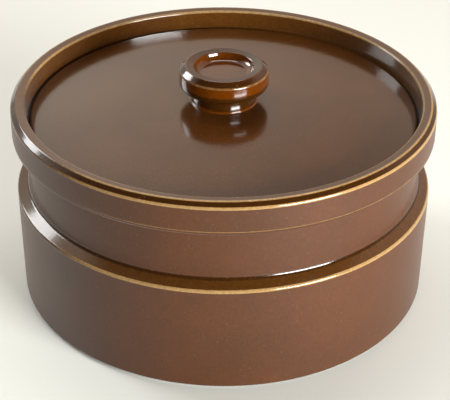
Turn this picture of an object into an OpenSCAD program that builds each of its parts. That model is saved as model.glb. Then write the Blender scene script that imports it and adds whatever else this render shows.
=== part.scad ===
// Round stoneware casserole dish with a drop-in domed lid and a turned button knob.
// Both pieces are bodies of revolution about Z. The foot stands on z = 0.

/* [Dish] */
// Outer diameter of the collar, the widest part of the dish
collar_d = 216; // [180:1:280]
// Height of the rim above the table
dish_h = 106.4; // [95:0.1:150]
// Height of the belly, up to the outer edge of the shoulder
belly_h = 58.1; // [40:0.1:64]
// How far the plain waist lies in from the face of the collar
waist_inset = 6.9; // [5:0.1:10]
// How far the belly stands out from the waist
belly_step = 6.3; // [3:0.1:9]
// How much narrower the belly is at the foot, on the radius
belly_taper = 0.6; // [0:0.1:3]
// How far the sloping shoulder climbs from the belly to the waist
shoulder_rise = 3.2; // [1.5:0.1:7]
// Radius of the fillet where the shoulder meets the waist
waist_fillet = 2.4; // [1:0.1:3]
// Thickness of the wall
wall_t = 6.4; // [5:0.1:7.5]
// Thickness of the base
base_t = 7; // [5:0.1:12]
// Radius of the cove between the base and the wall, inside
inner_cove = 13; // [6:0.5:20]

/* [Foot] */
// Width of the ring that the dish stands on
foot_ring_w = 6.5; // [4:0.1:12]
// Depth of the hollow under the base
foot_recess = 1.8; // [0.8:0.1:3]
// Size of the bevel round the bottom edge
foot_bevel = 2.2; // [1:0.1:4]

/* [Collar and lid seat] */
// Height of the collar
collar_h = 17.3; // [12:0.1:24]
// Radius of the rounded lower edge of the collar
collar_round = 2.2; // [1:0.1:3]
// Size of the bevel round the top of the collar
rim_bevel = 2.7; // [1.5:0.1:4]
// Width of the flat top of the rim
rim_land_w = 4.6; // [3.5:0.1:8]
// Depth of the lid seat below the rim
seat_depth = 15.4; // [13:0.1:20]
// How much the wall above the seat leans in on its way down
seat_draft = 1; // [0.5:0.1:2]

/* [Lid] */
// Gap all round between the lid and the wall of the seat
lid_clearance = 1; // [0.5:0.1:2]
// Thickness of the lid
lid_t = 5.5; // [4.5:0.1:8]
// Height of the dome of the lid, from its edge to the knob
lid_dome = 6; // [3:0.1:12]
// Width of the flat ring under the lid that rests on the seat
lid_bearing_w = 5; // [3.5:0.1:9]

/* [Knob] */
// Largest diameter of the knob
knob_d = 45.5; // [42:0.1:54]
// Height of the knob above the lid
knob_h = 19.4; // [17:0.1:26]
// Diameter of the neck under the knob
neck_d = 32.2; // [28:0.1:35]
// Height of the neck, up to the underside of the head
neck_h = 7.3; // [5:0.1:9]
// Radius of the rounded lower edge of the head
head_round = 3.2; // [2:0.1:4.5]
// Width of the small bead round the foot of the neck
neck_bead = 0.9; // [0.5:0.1:1.5]
// Size of the bevel round the top of the knob
knob_bevel = 2.9; // [1.5:0.1:4]
// Width of the flat ring on top of the knob, round the recess
knob_land_w = 4.3; // [3:0.1:8]
// Depth of the recess below the top of the knob
recess_depth = 4.4; // [3:0.1:5]
// Diameter of the hollow inside the knob, open below
hollow_d = 20; // [14:0.5:22]

/* [Hidden] */
$fn = 180;

glaze_brown = "#5b3624";
glaze_red_brown = "#64402c";

// Roundings that the fired glaze leaves on the edges
edge_r = 1.1;
soft_edge_r = 1.6;
shoulder_r = 1.5;
fine_r = 0.4;
lid_edge_r = 1.9;
bearing_r = 1;
corner_steps = 5;
long_steps = 12;

// Radii of the dish, all from the collar
collar_r = collar_d / 2;
waist_r = collar_r - waist_inset;
belly_r = waist_r + belly_step;
foot_r = belly_r - belly_taper;
bore_r = waist_r - wall_t;
land_outer_r = collar_r - rim_bevel;
land_inner_r = land_outer_r - rim_land_w;
seat_r = land_inner_r - seat_draft;

// Heights of the dish
waist_z = belly_h + shoulder_rise;
collar_z = dish_h - collar_h;
seat_z = dish_h - seat_depth;
land_dip = 0.6;
shoulder_slope = atan(shoulder_rise / belly_step);
shoulder_inner_drop = wall_t * (1 - sin(shoulder_slope)) / cos(shoulder_slope);

// The lid stands on the seat
lid_r = seat_r - lid_clearance;
lid_edge_z = seat_z + lid_t;
lid_top_z = lid_edge_z + lid_dome;
bearing_r_in = lid_r - lid_bearing_w;
bearing_slope_w = 2;
dome_power = 3;
dome_steps = 24;
underside_steps = 14;

// Knob, from the top of the lid up
knob_r = knob_d / 2;
neck_r = neck_d / 2;
knob_top_z = lid_top_z + knob_h;
head_low_z = lid_top_z + neck_h;
knob_bevel_z = knob_top_z - knob_bevel;
knob_land_dip = 0.7;
bead_h = 1;
groove_depth = 0.5;
neck_waist = 0.4;
neck_round = 12;
recess_cove = 3.4;
recess_lean = 1.2;
head_wall_t = 5.5;

// The side of the head is upright at its widest place, and leans in a little up to the bevel
head_lean = 0.35;
head_lean_h = 4;
side_round = 20;
knob_land_r = knob_r - head_lean - knob_bevel;
recess_r = knob_land_r - knob_land_w;

function unit(v) = v / norm(v);
function turned(v, a) = [v.x * cos(a) - v.y * sin(a), v.x * sin(a) + v.y * cos(a)];

// The points of the arc that rounds one corner of an outline
function rounded(before, corner, after, r, steps) =
    let (u = unit(before - corner),
         v = unit(after - corner),
         half = acos(u * v) / 2,
         centre = corner + unit(u + v) * r / sin(half),
         start = corner + u * r / tan(half) - centre,
         way = u.x * v.y - u.y * v.x > 0 ? -1 : 1)
    [for (k = [0 : steps]) centre + turned(start, way * (180 - 2 * half) * k / steps)];

// An outline from corners given as [radius, height, rounding, steps]; a rounding of 0 stays sharp
function outline(corners) =
    let (n = len(corners))
    [for (i = [0 : n - 1])
        let (c = corners[i],
             before = corners[(i + n - 1) % n],
             after = corners[(i + 1) % n],
             p = [c[0], c[1]])
        each c[2] == 0 ? [p]
            : rounded([before[0], before[1]], p, [after[0], after[1]], c[2], c[3])];

function sharp(r, z) = [r, z, 0, 0];
function eased(r, z, size) = [r, z, size, corner_steps];

// Height of the top of the lid: nearly level round the knob, falling faster towards the edge
function dome_z(r) = lid_top_z - lid_dome * pow(r / lid_r, dome_power);

function dome_line(r_from, r_to, lift, steps) =
    [for (k = [0 : steps]) let (r = r_from + (r_to - r_from) * k / steps) sharp(r, dome_z(r) + lift)];

dish_corners = [
    sharp(0, foot_recess),
    eased(foot_r - foot_bevel - foot_ring_w - foot_recess, foot_recess, edge_r),
    eased(foot_r - foot_bevel - foot_ring_w, 0, edge_r),
    eased(foot_r - foot_bevel, 0, edge_r),
    eased(foot_r, foot_bevel, edge_r),
    eased(belly_r, belly_h, shoulder_r),
    eased(waist_r, waist_z, waist_fillet),
    eased(waist_r, collar_z, edge_r),
    eased(collar_r, collar_z, collar_round),
    eased(collar_r, dish_h - rim_bevel, soft_edge_r),
    eased(land_outer_r, dish_h, edge_r),
    eased(land_inner_r, dish_h - land_dip, edge_r),
    eased(seat_r, seat_z, edge_r),
    eased(bore_r, seat_z, edge_r),
    eased(bore_r, waist_z - shoulder_inner_drop, shoulder_r),
    eased(bore_r + belly_step, belly_h - shoulder_inner_drop, shoulder_r),
    [bore_r + belly_step - belly_taper, base_t, inner_cove, long_steps],
    sharp(0, base_t)
];

module dish() {
    color(glaze_brown) rotate_extrude() polygon(outline(dish_corners));
}

underside = dome_line(hollow_d / 2 + edge_r * 2, bearing_r_in - bearing_slope_w, -lid_t, underside_steps);
hollow_top_z = knob_top_z - recess_depth - head_wall_t;

lid_corners = concat(
    [sharp(0, hollow_top_z),
     [hollow_d / 2, hollow_top_z, hollow_d / 2 - edge_r, long_steps],
     eased(hollow_d / 2, dome_z(hollow_d / 2) - lid_t, edge_r)],
    underside,
    [eased(bearing_r_in, seat_z, bearing_r),
     eased(lid_r, seat_z, bearing_r),
     [lid_r, lid_edge_z, lid_edge_r, corner_steps]],
    dome_line(lid_r - lid_edge_r * 2, neck_r + neck_bead * 2, 0, dome_steps),
    [eased(neck_r + neck_bead, dome_z(neck_r + neck_bead), fine_r),
     eased(neck_r + neck_bead, lid_top_z + bead_h, fine_r),
     eased(neck_r - groove_depth, lid_top_z + bead_h, fine_r / 2),
     eased(neck_r, lid_top_z + bead_h + groove_depth, fine_r / 2),
     eased(neck_r - neck_waist, (lid_top_z + bead_h + head_low_z) / 2, neck_round),
     eased(neck_r, head_low_z, edge_r),
     [knob_r, head_low_z, head_round, long_steps],
     eased(knob_r, knob_bevel_z - head_lean_h, side_round),
     eased(knob_r - head_lean, knob_bevel_z, soft_edge_r),
     eased(knob_land_r, knob_top_z, edge_r),
     eased(recess_r, knob_top_z - knob_land_dip, fine_r * 2),
     [recess_r - recess_lean, knob_top_z - recess_depth, recess_cove, long_steps],
     sharp(0, knob_top_z - recess_depth)]
);

module lid() {
    color(glaze_red_brown) rotate_extrude() polygon(outline(lid_corners));
}

dish();
lid();
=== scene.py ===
import math

import bmesh
import bpy
from bpy.props import FloatProperty, PointerProperty, StringProperty
from mathutils import Matrix, Vector
from mathutils.geometry import intersect_point_line


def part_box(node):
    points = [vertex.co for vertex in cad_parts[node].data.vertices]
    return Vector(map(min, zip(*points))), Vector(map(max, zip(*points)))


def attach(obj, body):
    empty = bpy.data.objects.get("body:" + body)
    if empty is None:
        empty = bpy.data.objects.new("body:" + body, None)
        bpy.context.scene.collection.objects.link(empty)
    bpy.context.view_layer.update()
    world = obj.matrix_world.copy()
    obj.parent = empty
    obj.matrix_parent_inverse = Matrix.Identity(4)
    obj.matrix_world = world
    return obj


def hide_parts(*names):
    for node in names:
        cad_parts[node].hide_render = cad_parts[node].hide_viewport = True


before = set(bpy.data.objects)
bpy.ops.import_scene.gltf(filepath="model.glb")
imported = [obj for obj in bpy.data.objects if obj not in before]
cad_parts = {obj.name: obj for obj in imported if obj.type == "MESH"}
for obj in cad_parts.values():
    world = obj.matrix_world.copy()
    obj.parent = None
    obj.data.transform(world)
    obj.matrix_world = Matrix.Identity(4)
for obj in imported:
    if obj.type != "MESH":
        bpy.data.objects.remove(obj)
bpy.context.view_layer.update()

bl_info = {
    "name": "Stoneware casserole dish",
    "version": (1, 0, 0),
    "blender": (4, 5, 0),
    "location": "View3D > Sidebar > Casserole",
    "description": "Turns a brown glazed casserole dish with a drop-in lid, and sets it in a studio",
    "category": "Add Mesh",
}


def mm(value):
    """Millimetres as metres, which is what Blender and the CAD frame work in."""
    return value / 1000.0


# The outline of a piece is a list of corners (radius, height, rounding, run, finish). Run says what the
# molten glaze did at that corner: 1 where it ran off and lies thin, -1 where it gathered and lies thick.
# Finish is that of the stretch up to the next corner. The deep finish and a gathered run make the glaze
# nearly black. In some places that is thick glaze; under the collar, on the foot bevel and under the
# knob's head it is painted shade, and in the waist fillet it is gathered glaze and a painted dark
# reflection.
SATIN, GLASSY, DEEP_AND_SHADE, BARE = "satin", "glassy", "deep", "bare"

# Roundings that the fired glaze leaves on the corners
EDGE = mm(1.1)
SOFT_EDGE = mm(1.6)
SHOULDER_EDGE = mm(1.5)
BEARING_EDGE = mm(1)
LID_EDGE = mm(1.9)
FINE_EDGE = mm(0.4)
FINEST_EDGE = mm(0.2)
DIMPLE_EDGE = mm(0.8)
DIMPLE_COVE = mm(3.4)
NECK_ROUND = mm(12)
SIDE_ROUND = mm(20)

# Small steps in the outline of the lid, and the power that its dome falls with
DOME_POWER = 3
BEARING_SLOPE = mm(2)
BEAD_HEIGHT = mm(1)
GROOVE = mm(0.5)
NECK_HOLLOW = mm(0.4)
HEAD_WALL = mm(5.5)
HEAD_LEAN = mm(0.35)
HEAD_LEAN_HEIGHT = mm(4)
DIMPLE_LEAN = mm(1.2)

# Painted shade on the foot of the knob's head reaches this far above its rounding
SHADED_FOOT = mm(0.9)

# A run of glaze at a corner fills this much of the arc there, and fades out within this reach past it
THIN_ARC, POOLED_ARC = 0.9, 0.6
RUN_REACH = mm(0.5)
# A stretch counts as at least this far away when it gives its finish to a point
NO_DISTANCE = mm(0.1)

# How far beside a corner its guide points lie
DISH_GUIDES = (mm(0.25), mm(0.6), mm(2))
LID_GUIDES = (mm(0.25), mm(0.6), mm(1.5))

# Steps in a full turn, along the dome, under it, and in an arc, which has twice as many from LONG_ARC up
TURN_STEPS = 240
DOME_STEPS = 24
UNDERSIDE_STEPS = 14
ARC_STEPS = 6
LONG_ARC = mm(3)

FLOOR_SIZE = 6.0

# How far the photo's camera is turned away from the axis of the dish: pan, tilt and roll, in degrees
CAMERA_TURNS = (0.0726, 0.6776, -0.308)


class DishSizes(bpy.types.PropertyGroup):
    collar_radius: FloatProperty(
        name="Collar radius", description="Radius of the collar, the widest part of the dish",
        default=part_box("dish")[1].x, unit="LENGTH")
    rim_height: FloatProperty(
        name="Rim height", description="Height of the rim above the table, before its edge is rounded",
        default=mm(106.4), unit="LENGTH")
    belly_height: FloatProperty(
        name="Belly height", description="Height of the belly, up to the outer edge of the shoulder",
        default=mm(58.1), unit="LENGTH")
    waist_inset: FloatProperty(
        name="Waist inset", description="How far the plain waist lies in from the face of the collar",
        default=mm(6.9), unit="LENGTH")
    belly_step: FloatProperty(
        name="Belly step", description="How far the belly stands out from the waist",
        default=mm(6.3), unit="LENGTH")
    belly_taper: FloatProperty(
        name="Belly taper", description="How much narrower the belly is at the foot",
        default=mm(0.6), unit="LENGTH")
    shoulder_rise: FloatProperty(
        name="Shoulder rise", description="How far the sloping shoulder climbs to the waist",
        default=mm(3.2), unit="LENGTH")
    wall: FloatProperty(
        name="Wall", description="Thickness of the wall", default=mm(6.4), unit="LENGTH")
    base: FloatProperty(
        name="Base", description="Thickness of the base", default=mm(7.0), unit="LENGTH")
    cove: FloatProperty(
        name="Cove", description="Radius between the base and the wall, inside",
        default=mm(13.0), unit="LENGTH")
    foot_ring: FloatProperty(
        name="Foot ring", description="Width of the bare ring that the dish stands on",
        default=mm(6.5), unit="LENGTH")
    foot_recess: FloatProperty(
        name="Foot recess", description="Depth of the hollow under the base",
        default=mm(1.8), unit="LENGTH")
    foot_bevel: FloatProperty(
        name="Foot bevel", description="Size of the bevel round the bottom edge",
        default=mm(2.2), unit="LENGTH")
    collar_height: FloatProperty(
        name="Collar height", description="Height of the collar", default=mm(17.3), unit="LENGTH")
    collar_foot: FloatProperty(
        name="Collar foot", description="Rounding of the lower edge of the collar",
        default=mm(2.2), unit="LENGTH")
    waist_fillet: FloatProperty(
        name="Waist fillet", description="Rounding of the corner between the waist and the shoulder",
        default=mm(2.4), unit="LENGTH")
    rim_bevel: FloatProperty(
        name="Rim bevel", description="Size of the bevel round the top of the collar",
        default=mm(2.7), unit="LENGTH")
    land: FloatProperty(
        name="Land", description="Width of the flat top of the rim", default=mm(4.6), unit="LENGTH")
    land_dip: FloatProperty(
        name="Land dip", description="How much the land falls towards the lid",
        default=mm(0.6), unit="LENGTH")
    seat_depth: FloatProperty(
        name="Seat depth", description="Depth of the lid seat below the rim",
        default=mm(15.4), unit="LENGTH")
    seat_draft: FloatProperty(
        name="Seat draft", description="How much the wall above the seat leans in on its way down",
        default=mm(1.0), unit="LENGTH")


class LidSizes(bpy.types.PropertyGroup):
    clearance: FloatProperty(
        name="Clearance", description="Gap all round between the lid and the wall of the seat",
        default=mm(1.0), unit="LENGTH")
    thickness: FloatProperty(
        name="Thickness", description="Thickness of the lid", default=mm(5.5), unit="LENGTH")
    dome: FloatProperty(
        name="Dome", description="Height of the dome, from the edge of the lid to the knob",
        default=mm(6.0), unit="LENGTH")
    bearing: FloatProperty(
        name="Bearing ring", description="Width of the bare ring under the lid that rests on the seat",
        default=mm(5.0), unit="LENGTH")
    top_height: FloatProperty(
        name="Knob top", description="Height of the knob above the table, before its edge is rounded",
        default=mm(121.9), unit="LENGTH")
    knob_height: FloatProperty(
        name="Knob height", description="Height of the knob above the lid",
        default=mm(19.4), unit="LENGTH")
    knob_radius: FloatProperty(
        name="Knob radius", description="Largest radius of the knob", default=mm(22.75), unit="LENGTH")
    neck_radius: FloatProperty(
        name="Neck radius", description="Radius of the neck under the knob",
        default=mm(16.1), unit="LENGTH")
    neck_height: FloatProperty(
        name="Neck height", description="Height of the neck, up to the underside of the head",
        default=mm(7.3), unit="LENGTH")
    head_rounding: FloatProperty(
        name="Head rounding", description="Rounding of the lower edge of the head",
        default=mm(3.2), unit="LENGTH")
    bead: FloatProperty(
        name="Bead", description="Width of the small bead round the foot of the neck",
        default=mm(0.9), unit="LENGTH")
    knob_bevel: FloatProperty(
        name="Knob bevel", description="Size of the bevel round the top of the knob",
        default=mm(2.9), unit="LENGTH")
    knob_dip: FloatProperty(
        name="Knob dip", description="How much the ring on top of the knob falls towards its dimple",
        default=mm(0.7), unit="LENGTH")
    dimple_radius: FloatProperty(
        name="Dimple radius", description="Radius of the mouth of the dimple in the knob",
        default=mm(15.2), unit="LENGTH")
    dimple_depth: FloatProperty(
        name="Dimple depth", description="Depth of the dimple below the top of the knob",
        default=mm(4.4), unit="LENGTH")
    hollow_radius: FloatProperty(
        name="Hollow radius", description="Radius of the hollow inside the knob, open below",
        default=mm(10.0), unit="LENGTH")


class GlazeColours(bpy.types.PropertyGroup):
    satin: StringProperty(
        name="Satin brown", description="Glaze that dulled to a red brown skin on the broad faces",
        default="#4d280b")
    satin_deep: StringProperty(
        name="Deep satin brown", description="The same skin where the glaze lies thicker",
        default="#44240a")
    lid_satin: StringProperty(
        name="Lid brown", description="The skin on the lid, where the glaze is thinner and redder",
        default="#4c2a0d")
    lid_satin_deep: StringProperty(
        name="Deep lid brown", description="The skin on the lid where the glaze lies thicker",
        default="#412209")
    amber: StringProperty(
        name="Amber", description="Clear treacle glaze on slopes and inner walls",
        default="#51300f")
    knob_amber: StringProperty(
        name="Knob amber", description="The redder clear glaze on the knob", default="#5a2a01")
    # This nearly black glaze is also painted shade under the collar, on the foot bevel and under the
    # knob's head, and a painted dark reflection in the waist fillet
    pooled_and_shade: StringProperty(
        name="Pooled glaze", description="Clear glaze where it lies thick, nearly black",
        default="#321a04")
    # Honey also paints a highlight line on the lower edge of the collar
    honey: StringProperty(
        name="Honey", description="Thin glaze on an edge, where the pale clay shows through",
        default="#9a7a4e")
    clay: StringProperty(
        name="Bare clay", description="Fired clay where the glaze was wiped off", default="#b79a78")
    speck: StringProperty(
        name="Specks", description="Pale specks in the glaze", default="#8a705a")


class StudioSettings(bpy.types.PropertyGroup):
    floor_colour: StringProperty(
        name="Floor", description="Colour of the pale table", default="#e8eae4")
    bounce_colour: StringProperty(
        name="Floor bounce", description="Colour that the table throws back onto the dish",
        default="#8e8d88")
    camera_distance: FloatProperty(
        name="Camera distance", description="From the camera to the middle of the view",
        default=mm(734.4), unit="LENGTH")
    aim_height: FloatProperty(
        name="Aim height", description="Height on the axis of the dish that the camera is turned from",
        default=mm(51.84), unit="LENGTH")
    camera_tilt: FloatProperty(
        name="Camera elevation", description="How far above the horizon the camera stands",
        default=math.radians(31.12), subtype="ANGLE")
    lens: FloatProperty(name="Lens", description="Focal length in millimetres", default=111.04)


def toward(start, end, distance):
    """The point at that distance from start on the way to end."""
    return start + (end - start).normalized() * distance


def tangent_length(before, corner, after, rounding):
    """How far from a corner an arc of that radius leaves the two stretches that meet there."""
    half = (before - corner).angle(after - corner) / 2
    return rounding / math.tan(half)


def with_guides(corners, reaches):
    """The corners as points, with guide points beside those that are rounded or have a run of glaze, so
    that a change of glaze stays close to them."""
    points = [Vector((c[0], 0, c[1])) for c in corners]
    guided = []
    for i, (point, corner) in enumerate(zip(points, corners)):
        if corner[2] == corner[3] == 0 or i in (0, len(points) - 1):
            guided.append(point)
            continue
        cut = tangent_length(points[i - 1], point, points[i + 1], corner[2])
        beside = [[], []]
        for side, other in ((0, points[i - 1]), (1, points[i + 1])):
            for reach in reaches:
                if cut + reach < (other - point).length / 2 - reaches[0]:
                    beside[side].append(toward(point, other, cut + reach))
        guided += beside[0][::-1] + [point] + beside[1]
    return guided


def select_point(mesh, place):
    """Selects the one vertex of the mesh in edit mode that lies at this place."""
    edit = bmesh.from_edit_mesh(mesh)
    for vertex in edit.verts:
        vertex.select_set(False)
    nearest = min(edit.verts, key=lambda v: (v.co - place).length)
    nearest.select_set(True)
    edit.select_flush_mode()
    bmesh.update_edit_mesh(mesh)


def draw_outline(name, corners, guide_reaches):
    """A wire in the XZ plane through the corners, extruded point by point, with its corners rounded."""
    bpy.ops.object.select_all(action="DESELECT")
    points = with_guides(corners, guide_reaches)
    bpy.ops.mesh.primitive_plane_add(size=mm(1), location=(0, 0, 0))
    piece = bpy.context.object
    piece.name = piece.data.name = name
    bpy.ops.object.mode_set(mode="EDIT")
    bpy.ops.mesh.select_all(action="SELECT")
    bpy.ops.mesh.merge(type="CENTER")
    bpy.ops.transform.translate(value=points[0])
    for start, end in zip(points, points[1:]):
        bpy.ops.mesh.extrude_vertices_move(TRANSFORM_OT_translate={"value": end - start})
    for i in range(1, len(corners) - 1):
        before, corner, after = (Vector((c[0], 0, c[1])) for c in corners[i - 1:i + 2])
        rounding = corners[i][2]
        if rounding > 0:
            select_point(piece.data, corner)
            bpy.ops.mesh.bevel(
                offset_type="ABSOLUTE", offset=tangent_length(before, corner, after, rounding),
                segments=ARC_STEPS if rounding < LONG_ARC else ARC_STEPS * 2,
                profile=0.5, affect="VERTICES")
    bpy.ops.object.mode_set(mode="OBJECT")
    return piece


def mark_glaze(piece, corners):
    """Writes on each point of the outline how glassy, thin, thick and bare the glaze is there. The thick
    mark also carries painted shade, and the thin mark a painted highlight on the collar's lower edge.
    """
    for key in ("glassy", "thin", "pooled_and_shade", "bare"):
        piece.data.attributes.new(key, "FLOAT", "POINT")
    layers = piece.data.attributes
    points = [Vector((c[0], 0, c[1])) for c in corners]
    for i, vertex in enumerate(piece.data.vertices):
        shares = {SATIN: 0.0, GLASSY: 0.0, DEEP_AND_SHADE: 0.0, BARE: 0.0}
        for start, end, corner in zip(points, points[1:], corners):
            foot, share = intersect_point_line(vertex.co, start, end)
            nearest = start if share < 0 else end if share > 1 else foot
            shares[corner[4]] += 1.0 / ((vertex.co - nearest).length + NO_DISTANCE) ** 4
        total = sum(shares.values())
        thin, pooled_and_shade = 0.0, shares[DEEP_AND_SHADE] / total
        for k in range(1, len(corners) - 1):
            run = corners[k][3]
            if run == 0:
                continue
            arc = tangent_length(*points[k - 1:k + 2], corners[k][2])
            filled = arc * (THIN_ARC if run > 0 else POOLED_ARC)
            beyond = max(0.0, (vertex.co - points[k]).length - filled)
            nearness = max(0.0, 1.0 - beyond / RUN_REACH)
            thin = max(thin, run * nearness)
            pooled_and_shade = max(pooled_and_shade, -run * nearness)
        layers["glassy"].data[i].value = max((shares[GLASSY] + shares[DEEP_AND_SHADE]) / total, thin, pooled_and_shade)
        layers["bare"].data[i].value = shares[BARE] / total
        layers["thin"].data[i].value = thin
        layers["pooled_and_shade"].data[i].value = pooled_and_shade * (1.0 - thin)


def spin_outline(piece):
    """Turns the outline round the upright axis into a closed, smooth body."""
    bpy.ops.object.mode_set(mode="EDIT")
    bpy.ops.mesh.select_all(action="SELECT")
    bpy.ops.mesh.spin(steps=TURN_STEPS, angle=math.tau, center=(0, 0, 0), axis=(0, 0, 1))
    bpy.ops.mesh.select_all(action="SELECT")
    bpy.ops.mesh.remove_doubles(threshold=mm(0.002))
    bpy.ops.mesh.normals_make_consistent(inside=False)
    bpy.ops.mesh.faces_shade_smooth()
    bpy.ops.object.mode_set(mode="OBJECT")
    open_edges = [count for count in faces_at_edges(piece.data) if count != 2]
    if open_edges:
        raise RuntimeError(f"{piece.name} is not closed: {len(open_edges)} edges without two faces")


def faces_at_edges(mesh):
    """How many faces meet at each edge of a mesh."""
    check = bmesh.new()
    check.from_mesh(mesh)
    counts = [len(edge.link_faces) for edge in check.edges]
    check.free()
    return counts


def linear(hex_colour):
    """A hex sRGB colour as linear RGBA."""
    parts = [int(hex_colour[i:i + 2], 16) / 255 for i in (1, 3, 5)]
    return tuple(p / 12.92 if p <= 0.04045 else ((p + 0.055) / 1.055) ** 2.4 for p in parts) + (1.0,)


def add(tree, kind, settings=None, inputs=None):
    """Adds one node: settings are its properties, and inputs hold a value or a link for each socket."""
    made = tree.nodes.new(kind)
    for key, value in (settings or {}).items():
        setattr(made, key, value)
    for key, value in (inputs or {}).items():
        if isinstance(value, bpy.types.NodeSocket):
            tree.links.new(value, made.inputs[key])
        else:
            made.inputs[key].default_value = value
    return made


def glaze(name, colours, skins, amber, skin_roughness, sheen, coat, seed):
    """Iron brown stoneware glaze, poured on and fired glossy. On broad faces the iron has come out as a
    red brown satin skin, slopes stay clear and treacle dark, and thin edges show honey over pale clay.
    The nearly black thick glaze also serves as painted shade where the outline marks it."""
    material = bpy.data.materials.new(name)
    material.use_nodes = True
    tree = material.node_tree
    tree.nodes.clear()
    place = add(tree, "ShaderNodeTexCoord").outputs["Object"]
    lie = add(tree, "ShaderNodeSeparateXYZ", inputs={0: place}).outputs
    place = add(tree, "ShaderNodeMapping", inputs={
        "Vector": place, "Location": (seed, seed * 0.7, 0)}).outputs[0]
    glassy, thin, pooled_and_shade, bare = (
        add(tree, "ShaderNodeAttribute", {"attribute_name": key}).outputs["Fac"]
        for key in ("glassy", "thin", "pooled_and_shade", "bare"))

    # Clouds of 35 mm where the dipped glaze lies thicker or thinner, and a fired grain of 1.2 mm
    clouds = add(tree, "ShaderNodeTexNoise", inputs={
        "Vector": place, "Scale": 1 / mm(35), "Detail": 3.0, "Roughness": 0.55}).outputs["Fac"]
    grain = add(tree, "ShaderNodeTexNoise", inputs={
        "Vector": place, "Scale": 1 / mm(1.2), "Detail": 2.0, "Roughness": 0.6}).outputs["Fac"]
    depth = add(tree, "ShaderNodeMapRange", inputs={
        "Value": clouds, "From Min": 0.35, "From Max": 0.68}).outputs[0]
    satin = add(tree, "ShaderNodeMix", {"data_type": "RGBA"}, {
        0: depth, 6: linear(skins[0]), 7: linear(skins[1])}).outputs[2]

    # Clear glaze is mottled by 2.6 mm, because it runs over the grain of the clay
    ragged = add(tree, "ShaderNodeTexNoise", inputs={
        "Vector": place, "Scale": 1 / mm(2.6), "Detail": 3.0, "Roughness": 0.6}).outputs["Fac"]
    # The mark of thick glaze and painted shade turns the clear glaze towards nearly black
    mottled = add(tree, "ShaderNodeMath", {"operation": "MULTIPLY_ADD"}, {
        0: ragged, 1: 0.9, 2: pooled_and_shade}).outputs[0]
    thick = add(tree, "ShaderNodeMapRange", inputs={
        "Value": mottled, "From Min": 0.27, "From Max": 1.35}).outputs[0]
    clear = add(tree, "ShaderNodeMix", {"data_type": "RGBA"}, {
        0: thick, 6: linear(amber), 7: linear(colours.pooled_and_shade)}).outputs[2]
    body = add(tree, "ShaderNodeMix", {"data_type": "RGBA"}, {0: glassy, 6: satin, 7: clear}).outputs[2]

    # The honey edge is ragged for the same reason. On the left and a little to the front it is dimmed to
    # half, which is painted shade, as less light falls on the edges there
    across = add(tree, "ShaderNodeMath", {"operation": "MULTIPLY_ADD"}, {
        0: lie[1], 1: 0.36, 2: lie[0]}).outputs[0]
    shade_on_left = add(tree, "ShaderNodeMapRange", {"interpolation_type": "SMOOTHSTEP"}, {
        "Value": across, "From Min": mm(-112), "From Max": mm(-88),
        "To Min": 0.5, "To Max": 1.0}).outputs[0]
    thin_shaded_left = add(tree, "ShaderNodeMath", {"operation": "MULTIPLY"}, {0: thin, 1: shade_on_left}).outputs[0]
    crept = add(tree, "ShaderNodeMath", {"operation": "MULTIPLY_ADD"}, {
        0: ragged, 1: 0.4, 2: thin_shaded_left}).outputs[0]
    honey = add(tree, "ShaderNodeMapRange", {"interpolation_type": "SMOOTHSTEP"}, {
        "Value": crept, "From Min": 0.6, "From Max": 1.15}).outputs[0]
    edged = add(tree, "ShaderNodeMix", {"data_type": "RGBA"}, {
        0: honey, 6: body, 7: linear(colours.honey)}).outputs[2]

    # Pale specks of about 0.5 mm, a few millimetres apart, where grains of the clay have bled through
    cells = add(tree, "ShaderNodeTexVoronoi", {"feature": "F1"}, {
        "Vector": place, "Scale": 1 / mm(2.2)})
    core = add(tree, "ShaderNodeMapRange", {"interpolation_type": "SMOOTHSTEP"}, {
        "Value": cells.outputs["Distance"], "From Min": 0.24, "From Max": 0.1}).outputs[0]
    chosen = add(tree, "ShaderNodeSeparateColor", inputs={0: cells.outputs["Color"]}).outputs[0]
    picked = add(tree, "ShaderNodeMapRange", inputs={
        "Value": chosen, "From Min": 0.6, "From Max": 1.0, "To Max": 0.2}).outputs[0]
    specks = add(tree, "ShaderNodeMath", {"operation": "MULTIPLY"}, {0: core, 1: picked}).outputs[0]
    specked = add(tree, "ShaderNodeMix", {"data_type": "RGBA"}, {
        0: specks, 6: edged, 7: linear(colours.speck)}).outputs[2]
    shade = add(tree, "ShaderNodeMapRange", inputs={
        "Value": grain, "From Min": 0.3, "From Max": 0.7, "To Min": 0.84, "To Max": 1.16}).outputs[0]
    grained = add(tree, "ShaderNodeMix", {"data_type": "RGBA", "blend_type": "MULTIPLY"}, {
        0: 1.0, 6: specked, 7: shade}).outputs[2]
    colour = add(tree, "ShaderNodeMix", {"data_type": "RGBA"}, {
        0: bare, 6: grained, 7: linear(colours.clay)}).outputs[2]

    # Satin skin, glassy glaze and dry clay differ in how sharply they mirror
    gloss = add(tree, "ShaderNodeMapRange", inputs={
        "Value": glassy, "To Min": skin_roughness, "To Max": 0.1}).outputs[0]
    worn = add(tree, "ShaderNodeMath", {"operation": "MULTIPLY_ADD"}, {
        0: grain, 1: 0.05, 2: gloss}).outputs[0]
    roughness = add(tree, "ShaderNodeMapRange", inputs={
        "Value": bare, "To Min": worn, "To Max": 0.85}).outputs[0]

    # Orange peel: swells about 4 mm wide and 0.03 mm high at most, with the fine grain on top of them
    swell = add(tree, "ShaderNodeTexNoise", inputs={
        "Vector": place, "Scale": 1 / mm(4.2), "Detail": 1.0}).outputs["Fac"]
    peel = add(tree, "ShaderNodeBump", inputs={
        "Strength": 1.0, "Distance": mm(0.03), "Height": swell}).outputs[0]
    skin = add(tree, "ShaderNodeBump", inputs={
        "Strength": 1.0, "Distance": mm(0.004), "Height": grain, "Normal": peel}).outputs[0]

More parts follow.
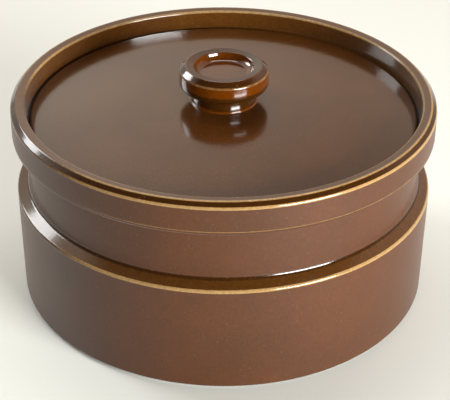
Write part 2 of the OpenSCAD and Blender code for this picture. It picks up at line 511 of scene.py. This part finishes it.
    # Sheen turns the satin skin of the dish pale at a grazing view, and the lid has more of a glassy coat
    shader = add(tree, "ShaderNodeBsdfPrincipled", inputs={
        "Base Color": colour, "Roughness": roughness, "Normal": skin, "IOR": 1.45,
        "Sheen Weight": sheen, "Sheen Roughness": 0.35,
        "Coat Weight": coat, "Coat Roughness": 0.1, "Coat IOR": 1.55, "Coat Normal": peel})
    add(tree, "ShaderNodeOutputMaterial", inputs={"Surface": shader.outputs[0]})
    return material


def paper_sweep(name, colour, bounce):
    """Matt photographer's paper: an even pale face with a faint fibre, and no mirror image. The camera
    and the glaze see it pale, and it throws less light back onto the dish."""
    material = bpy.data.materials.new(name)
    material.use_nodes = True
    tree = material.node_tree
    tree.nodes.clear()
    place = add(tree, "ShaderNodeTexCoord").outputs["Object"]
    fibre = add(tree, "ShaderNodeTexNoise", inputs={
        "Vector": place, "Scale": 1 / mm(1.5), "Detail": 2.0}).outputs["Fac"]
    shade = add(tree, "ShaderNodeMapRange", inputs={
        "Value": fibre, "To Min": 0.985, "To Max": 1.0}).outputs[0]
    tinted = add(tree, "ShaderNodeMix", {"data_type": "RGBA", "blend_type": "MULTIPLY"}, {
        0: 1.0, 6: linear(colour), 7: shade}).outputs[2]
    rays = add(tree, "ShaderNodeLightPath").outputs
    seen = add(tree, "ShaderNodeMath", {"operation": "MAXIMUM"}, {
        0: rays["Is Camera Ray"], 1: rays["Is Glossy Ray"]}).outputs[0]
    tinted = add(tree, "ShaderNodeMix", {"data_type": "RGBA"}, {
        0: seen, 6: linear(bounce), 7: tinted}).outputs[2]
    shader = add(tree, "ShaderNodeBsdfPrincipled", inputs={
        "Base Color": tinted, "Roughness": 0.9, "IOR": 1.45})
    add(tree, "ShaderNodeOutputMaterial", inputs={"Surface": shader.outputs[0]})
    return material


class CASSEROLE_OT_dish(bpy.types.Operator):
    """Turn the dish: foot ring, belly, shoulder, waist, collar, rim and the seat for the lid"""

    bl_idname = "casserole.turn_dish"
    bl_label = "Dish"

    def execute(self, context):
        s = context.scene.casserole_dish
        waist = s.collar_radius - s.waist_inset
        belly = waist + s.belly_step
        foot = belly - s.belly_taper
        bore = waist - s.wall
        land_out = s.collar_radius - s.rim_bevel
        land_in = land_out - s.land
        seat = land_in - s.seat_draft
        waist_z = s.belly_height + s.shoulder_rise
        collar_z = s.rim_height - s.collar_height
        seat_z = s.rim_height - s.seat_depth
        slope = math.atan2(s.shoulder_rise, s.belly_step)
        drop = s.wall * (1 - math.sin(slope)) / math.cos(slope)
        corners = [
            (0, s.foot_recess, 0, 0, SATIN),
            (foot - s.foot_bevel - s.foot_ring - s.foot_recess, s.foot_recess, EDGE, 0, SATIN),
            (foot - s.foot_bevel - s.foot_ring, 0, EDGE, 0.6, BARE),
            # The foot bevel is painted nearly black: a painted contact shadow where the dish stands on
            # the table
            (foot - s.foot_bevel, 0, EDGE, 0, DEEP_AND_SHADE),
            (foot, s.foot_bevel, EDGE, 0.35, SATIN),
            (belly, s.belly_height, SHOULDER_EDGE, 1, GLASSY),
            # The fillet at the foot of the waist gathers glaze, and its near black there is also a
            # painted dark reflection of the dim room in front
            (waist, waist_z, s.waist_fillet, -1, SATIN),
            # The underside of the collar is painted nearly black: painted shade under its overhang
            (waist, collar_z, EDGE, 0, DEEP_AND_SHADE),
            (s.collar_radius, collar_z, s.collar_foot, 0, SATIN),
            # The honey line at the top of the collar's lower rounding is a painted highlight, for the
            # pale table mirrored in that edge
            (s.collar_radius, collar_z + s.collar_foot, 0, 0.8, SATIN),
            (s.collar_radius, s.rim_height - s.rim_bevel, SOFT_EDGE, 1, DEEP_AND_SHADE),
            (land_out, s.rim_height, EDGE, 0.85, GLASSY),
            (land_in, s.rim_height - s.land_dip, EDGE, 0.8, GLASSY),
            (seat, seat_z, EDGE, -0.6, GLASSY),
            (bore, seat_z, EDGE, 0.8, GLASSY),
            (bore, waist_z - drop, SHOULDER_EDGE, 0, GLASSY),
            (bore + s.belly_step, s.belly_height - drop, SHOULDER_EDGE, 0, GLASSY),
            (bore + s.belly_step - s.belly_taper, s.base, s.cove, 0, GLASSY),
            (0, s.base, 0, 0, GLASSY),
        ]
        dish = draw_outline("glazed_dish", corners, DISH_GUIDES)
        mark_glaze(dish, corners)
        spin_outline(dish)
        colours = context.scene.casserole_glaze
        dish.data.materials.append(glaze(
            "iron_brown_glaze_dish", colours, (colours.satin, colours.satin_deep), colours.amber,
            skin_roughness=0.45, sheen=0.2, coat=0.1, seed=0.0))
        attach(dish, "root")
        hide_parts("dish")
        return {"FINISHED"}


class CASSEROLE_OT_lid(bpy.types.Operator):
    """Turn the lid: the domed plate that stands on its bearing ring, and the button knob"""

    bl_idname = "casserole.turn_lid"
    bl_label = "Lid"

    def execute(self, context):
        s = context.scene.casserole_lid
        d = context.scene.casserole_dish
        seat_z = d.rim_height - d.seat_depth
        radius = d.collar_radius - d.rim_bevel - d.land - d.seat_draft - s.clearance
        plate_z = s.top_height - s.knob_height
        edge_z = plate_z - s.dome

        def dome(r):
            """Height of the top of the plate: nearly level at the knob, falling faster near the edge."""
            return plate_z - s.dome * (r / radius) ** DOME_POWER

        def plate_line(r_from, r_to, lift, count):
            """Points along the dome, or under it, from one radius to another."""
            radii = [r_from + (r_to - r_from) * k / count for k in range(count + 1)]
            return [(r, dome(r) + lift, 0, 0, SATIN) for r in radii]

        bevel_z = s.top_height - s.knob_bevel
        side_top = s.knob_radius - HEAD_LEAN
        head_z = plate_z + s.neck_height
        bead_r = s.neck_radius + s.bead
        bead_z = plate_z + BEAD_HEIGHT
        bearing_in = radius - s.bearing
        hollow_z = s.top_height - s.dimple_depth - HEAD_WALL
        corners = [
            (0, hollow_z, 0, 0, GLASSY),
            (s.hollow_radius, hollow_z, s.hollow_radius - EDGE, 0, GLASSY),
            (s.hollow_radius, dome(s.hollow_radius) - s.thickness, EDGE, 0.5, SATIN),
            *plate_line(s.hollow_radius + EDGE * 2, bearing_in - BEARING_SLOPE, -s.thickness,
                        UNDERSIDE_STEPS),
            (bearing_in, seat_z, BEARING_EDGE, 0.4, BARE),
            (radius, seat_z, BEARING_EDGE, 0.4, SATIN),
            (radius, edge_z, LID_EDGE, 0, SATIN),
            *plate_line(radius - LID_EDGE * 2, bead_r + s.bead, 0, DOME_STEPS),
            (bead_r, dome(bead_r), FINE_EDGE, 0, GLASSY),
            (bead_r, bead_z, FINE_EDGE, 0.4, GLASSY),
            # From the groove to the lower side of the head the glaze is painted nearly black: painted
            # shade under the knob's head, with glaze pooled in the groove as well
            (s.neck_radius - GROOVE, bead_z, FINEST_EDGE, 0, DEEP_AND_SHADE),
            (s.neck_radius, bead_z + GROOVE, FINEST_EDGE, 0, DEEP_AND_SHADE),
            (s.neck_radius - NECK_HOLLOW, (bead_z + head_z) / 2, NECK_ROUND, 0, DEEP_AND_SHADE),
            (s.neck_radius, head_z, EDGE, 0, DEEP_AND_SHADE),
            (s.knob_radius, head_z, s.head_rounding, 0, DEEP_AND_SHADE),
            (s.knob_radius, head_z + s.head_rounding + SHADED_FOOT, 0, 0, GLASSY),
            (s.knob_radius, bevel_z - HEAD_LEAN_HEIGHT, SIDE_ROUND, 0, GLASSY),
            (side_top, bevel_z, SOFT_EDGE, 0.6, DEEP_AND_SHADE),
            (side_top - s.knob_bevel, s.top_height, EDGE, 0.4, DEEP_AND_SHADE),
            (s.dimple_radius, s.top_height - s.knob_dip, DIMPLE_EDGE, 0.3, GLASSY),
            (s.dimple_radius - DIMPLE_LEAN, s.top_height - s.dimple_depth, DIMPLE_COVE, 0, GLASSY),
            (0, s.top_height - s.dimple_depth, 0, 0, GLASSY),
        ]
        lid = draw_outline("glazed_lid", corners, LID_GUIDES)
        mark_glaze(lid, corners)
        spin_outline(lid)
        colours = context.scene.casserole_glaze
        lid.data.materials.append(glaze(
            "iron_brown_glaze_lid", colours, (colours.lid_satin, colours.lid_satin_deep),
            colours.knob_amber, skin_roughness=0.16, sheen=0.0, coat=0.45, seed=0.31))
        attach(lid, "root")
        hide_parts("lid")
        return {"FINISHED"}


class CASSEROLE_OT_studio(bpy.types.Operator):
    """Set the studio: pale floor, three soft lamps, the room that the glaze mirrors, and the camera"""

    bl_idname = "casserole.set_studio"
    bl_label = "Studio"

    def execute(self, context):
        s = context.scene.casserole_studio
        bpy.ops.object.select_all(action="DESELECT")
        bpy.ops.mesh.primitive_plane_add(size=FLOOR_SIZE, location=(0, 0, 0))
        floor = context.object
        floor.name = floor.data.name = "paper_floor"
        floor.data.materials.append(paper_sweep("pale_paper", s.floor_colour, s.bounce_colour))

        # A window at the back left, the main lamp low at the front right, and one high behind
        self.lamp(
            "window", azimuth=240, elevation=30, distance=1.5, size=(0.52, 0.62), power=12,
            colour="#ffffff")
        self.lamp(
            "key", azimuth=42, elevation=13, distance=1.6, size=(0.86, 0.5), power=62,
            colour="#fffefb")
        self.lamp(
            "high", azimuth=180, elevation=72, distance=1.5, size=(1.0, 0.3), power=6,
            colour="#ffffff")
        self.sky(context.scene)

        # The photo's camera: it looks at the axis from in front, and is turned a little from there
        pan, tilt, roll = (math.radians(angle) for angle in CAMERA_TURNS)
        aim = Vector((0, 0, s.aim_height))
        back = Vector((0, -math.cos(s.camera_tilt), math.sin(s.camera_tilt)))
        right = Vector((1, 0, 0))
        level = Matrix((right, back.cross(right), back))
        turns = (Matrix.Rotation(roll, 3, "Z") @ Matrix.Rotation(tilt, 3, "X")
                 @ Matrix.Rotation(pan, 3, "Y"))
        data = bpy.data.cameras.new("photo_camera")
        data.lens = s.lens
        data.sensor_width = 36
        data.clip_start = 0.05
        camera = bpy.data.objects.new("photo_camera", data)
        context.scene.collection.objects.link(camera)
        camera.matrix_world = Matrix.LocRotScale(
            aim + back * s.camera_distance, (turns @ level).transposed().to_quaternion(), None)
        context.scene.camera = camera
        context.scene.view_settings.view_transform = "Standard"
        return {"FINISHED"}

    def lamp(self, name, azimuth, elevation, distance, size, power, colour):
        """A soft box that faces the dish. In degrees, azimuth 0 stands in front, and 90 to the right."""
        a, e = math.radians(azimuth), math.radians(elevation)
        direction = Vector((math.sin(a) * math.cos(e), -math.cos(a) * math.cos(e), math.sin(e)))
        bpy.ops.object.light_add(
            type="AREA", location=direction * distance,
            rotation=direction.to_track_quat("Z", "Y").to_euler())
        lamp = bpy.context.object
        lamp.name = lamp.data.name = name + "_light"
        lamp.data.shape = "RECTANGLE"
        lamp.data.size, lamp.data.size_y = size
        lamp.data.energy = power
        lamp.data.color = linear(colour)[:3]

    def sky(self, scene):
        """The room that the glaze mirrors: dim overhead and in front, with a wall behind the dish that
        is pale at the left, and warmer and dimmer at the right and low down. To the camera it is pale."""
        world = bpy.data.worlds.new("studio_room")
        scene.world = world
        world.use_nodes = True
        tree = world.node_tree
        tree.nodes.clear()
        way = add(tree, "ShaderNodeSeparateXYZ", inputs={
            0: add(tree, "ShaderNodeTexCoord").outputs["Generated"]})
        low = add(tree, "ShaderNodeMapRange", {"interpolation_type": "SMOOTHSTEP"}, {
            "Value": way.outputs[2], "From Min": 0.9, "From Max": 0.76}).outputs[0]
        behind = add(tree, "ShaderNodeMapRange", {"interpolation_type": "SMOOTHSTEP"}, {
            "Value": way.outputs[1], "From Min": -0.1, "From Max": 0.35}).outputs[0]
        lit = add(tree, "ShaderNodeMath", {"operation": "MULTIPLY"}, {0: low, 1: behind}).outputs[0]
        higher = add(tree, "ShaderNodeMapRange", inputs={
            "Value": way.outputs[2], "From Min": 0.2, "From Max": 0.42,
            "To Min": 0.5, "To Max": 1.0}).outputs[0]
        lit = add(tree, "ShaderNodeMath", {"operation": "MULTIPLY"}, {0: lit, 1: higher}).outputs[0]
        leftward = add(tree, "ShaderNodeMapRange", inputs={
            "Value": way.outputs[0], "From Min": 0.15, "From Max": -0.2}).outputs[0]
        wall = add(tree, "ShaderNodeMix", {"data_type": "RGBA"}, {
            0: leftward, 6: linear("#d0b8a6"), 7: linear("#fcefdc")}).outputs[2]
        room = add(tree, "ShaderNodeMix", {"data_type": "RGBA"}, {
            0: lit, 6: linear("#2c2a26"), 7: wall}).outputs[2]
        seen = add(tree, "ShaderNodeLightPath").outputs["Is Camera Ray"]
        shown = add(tree, "ShaderNodeMix", {"data_type": "RGBA"}, {
            0: seen, 6: room, 7: linear("#f0f2ea")}).outputs[2]
        strength = add(tree, "ShaderNodeMapRange", inputs={
            "Value": seen, "To Min": 1.3, "To Max": 1.0}).outputs[0]
        light = add(tree, "ShaderNodeBackground", inputs={"Color": shown, "Strength": strength})
        add(tree, "ShaderNodeOutputWorld", inputs={"Surface": light.outputs[0]})


class CASSEROLE_PT_panel(bpy.types.Panel):
    """The steps that make the casserole dish, and the sizes and colours that they use"""

    bl_label = "Casserole dish"
    bl_idname = "CASSEROLE_PT_panel"
    bl_space_type = "VIEW_3D"
    bl_region_type = "UI"
    bl_category = "Casserole"

    def draw(self, context):
        for step in STEPS:
            self.layout.operator(step.bl_idname)
        for group in GROUPS:
            box = self.layout.box()
            for key in group[0].__annotations__:
                box.prop(getattr(context.scene, group[1]), key)


GROUPS = (
    (DishSizes, "casserole_dish"),
    (LidSizes, "casserole_lid"),
    (GlazeColours, "casserole_glaze"),
    (StudioSettings, "casserole_studio"),
)
STEPS = (CASSEROLE_OT_dish, CASSEROLE_OT_lid, CASSEROLE_OT_studio)


def register():
    for group, name in GROUPS:
        bpy.utils.register_class(group)
        setattr(bpy.types.Scene, name, PointerProperty(type=group))
    for step in (*STEPS, CASSEROLE_PT_panel):
        bpy.utils.register_class(step)


def unregister():
    for step in (CASSEROLE_PT_panel, *reversed(STEPS)):
        bpy.utils.unregister_class(step)
    for group, name in reversed(GROUPS):
        delattr(bpy.types.Scene, name)
        bpy.utils.unregister_class(group)


def main():
    register()
    bpy.ops.casserole.turn_dish()
    bpy.ops.casserole.turn_lid()
    bpy.ops.casserole.set_studio()


if __name__ == "__main__":
    main()
